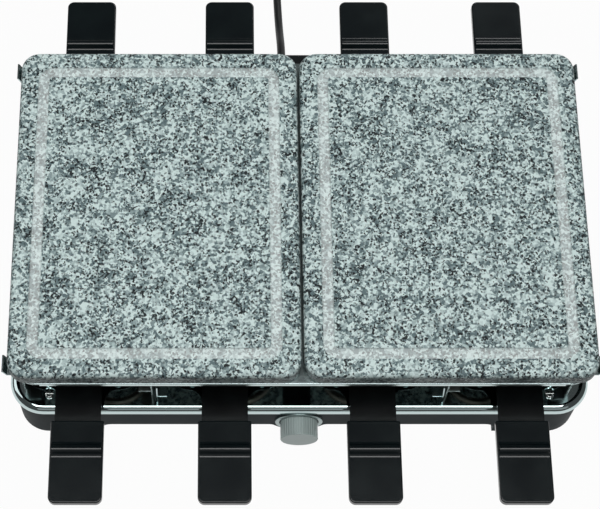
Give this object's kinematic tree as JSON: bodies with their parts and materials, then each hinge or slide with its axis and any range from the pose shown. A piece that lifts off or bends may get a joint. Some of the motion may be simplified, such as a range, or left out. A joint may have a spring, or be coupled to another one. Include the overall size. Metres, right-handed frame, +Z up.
{
  "type": "raclette grill",
  "caption": "Raclette grill with granite plates over open pan bays, pull-out pans with ribbed grips, a polished deck on a footed base, a thermostat knob and a mains lead.",
  "frame": {"origin": "middle of the grill's footprint on the table, at the base", "axes": "+Z up, +Y from the knob side towards the mains lead, +X to the right seen from the knob"},
  "size_m": [0.471, 0.6947, 0.13],
  "materials": {
    "granite": "honed, speckled grey, white and black",
    "pan_coating": "glossy black non-stick coating",
    "grip_plastic": "fine satin moulding",
    "polished_steel": "mirror polished",
    "frame_steel": "bright rolled sheet",
    "plated_sheet": "zinc-plated sheet",
    "housing_paint": "metallic dark silver grey",
    "foot_rubber": "matte",
    "knob_satin": "satin silver",
    "bezel_metal": "satin",
    "screw_steel": "bright",
    "element_sheath": "heat-dulled sheath",
    "black_plastic": "satin black",
    "block_ceramic": "unglazed cream",
    "thermostat_plastic": "moulded phenolic",
    "wire_insulation": "woven glass sleeving",
    "cord_rubber": "matte black sheath",
    "pin_brass": "nickelled"
  },
  "bodies": {
    "base": {"top_frame": "frame_steel", "terminal_cover": "black_plastic", "terminal_block": "block_ceramic", "cover_screws": "screw_steel", "heating_element_left": "element_sheath", "heating_element_right": "element_sheath", "element_hanger_front_left": "plated_sheet", "element_hanger_front_right": "plated_sheet", "element_hanger_rear_left": "plated_sheet", "element_hanger_rear_right": "plated_sheet", "support_post_front_left": "plated_sheet", "support_post_front_right": "plated_sheet", "support_post_rear_left": "plated_sheet", "support_post_rear_right": "plated_sheet", "side_panel_left": "plated_sheet", "side_panel_right": "plated_sheet", "bay_divider_left": "frame_steel", "bay_divider_right": "frame_steel", "frame_screws": "screw_steel", "deck_screws": "screw_steel", "wire_riser": "plated_sheet", "deck_tray": "polished_steel", "tray_screws": "screw_steel", "base_shell": "housing_paint", "bottom_plate": "plated_sheet", "bottom_screws": "screw_steel", "rubber_feet": "foot_rubber", "knob_bezel": "bezel_metal", "thermostat_body": "thermostat_plastic", "thermostat_nut": "plated_sheet", "wire_live": "wire_insulation", "wire_switched": "wire_insulation", "wire_neutral": "wire_insulation", "cord_gland": "cord_rubber", "gland_nut": "plated_sheet", "power_cord": "cord_rubber", "cord_coil": "cord_rubber", "cord_tail": "cord_rubber", "plug_body": "black_plastic", "plug_pins": "pin_brass"},
    "knob": {"knob": "knob_satin", "thermostat_shaft": "plated_sheet"},
    "stone_left": {"stone_left": "granite"},
    "stone_right": {"stone_right": "granite"},
    "pan_front_1": {"pan_front_1": "pan_coating", "grip_front_1": "grip_plastic"},
    "pan_front_2": {"pan_front_2": "pan_coating", "grip_front_2": "grip_plastic"},
    "pan_front_3": {"pan_front_3": "pan_coating", "grip_front_3": "grip_plastic"},
    "pan_front_4": {"pan_front_4": "pan_coating", "grip_front_4": "grip_plastic"},
    "pan_rear_1": {"pan_rear_1": "pan_coating", "grip_rear_1": "grip_plastic"},
    "pan_rear_2": {"pan_rear_2": "pan_coating", "grip_rear_2": "grip_plastic"},
    "pan_rear_3": {"pan_rear_3": "pan_coating", "grip_rear_3": "grip_plastic"},
    "pan_rear_4": {"pan_rear_4": "pan_coating", "grip_rear_4": "grip_plastic"}
  },
  "joints": [
    {"name": "knob_turn", "type": "hinge", "parent": "base", "child": "knob", "pos_m": [0, -0.155, 0.031], "axis": [0, 1, 0], "range_deg": [0, 270]},
    {"name": "stone_left_lift", "type": "slide", "parent": "base", "child": "stone_left", "axis": [0, 0, 1], "range_m": [0, 0.06]},
    {"name": "stone_right_lift", "type": "slide", "parent": "base", "child": "stone_right", "axis": [0, 0, 1], "range_m": [0, 0.06]},
    {"name": "pan_front_1_draw", "type": "slide", "parent": "base", "child": "pan_front_1", "axis": [0, -1, 0], "range_m": [0, 0.11]},
    {"name": "pan_front_2_draw", "type": "slide", "parent": "base", "child": "pan_front_2", "axis": [0, -1, 0], "range_m": [0, 0.11]},
    {"name": "pan_front_3_draw", "type": "slide", "parent": "base", "child": "pan_front_3", "axis": [0, -1, 0], "range_m": [0, 0.11]},
    {"name": "pan_front_4_draw", "type": "slide", "parent": "base", "child": "pan_front_4", "axis": [0, -1, 0], "range_m": [0, 0.11]},
    {"name": "pan_rear_1_draw", "type": "slide", "parent": "base", "child": "pan_rear_1", "axis": [0, 1, 0], "range_m": [0, 0.11]},
    {"name": "pan_rear_2_draw", "type": "slide", "parent": "base", "child": "pan_rear_2", "axis": [0, 1, 0], "range_m": [0, 0.11]},
    {"name": "pan_rear_3_draw", "type": "slide", "parent": "base", "child": "pan_rear_3", "axis": [0, 1, 0], "range_m": [0, 0.11]},
    {"name": "pan_rear_4_draw", "type": "slide", "parent": "base", "child": "pan_rear_4", "axis": [0, 1, 0], "range_m": [0, 0.11]}
  ]
}
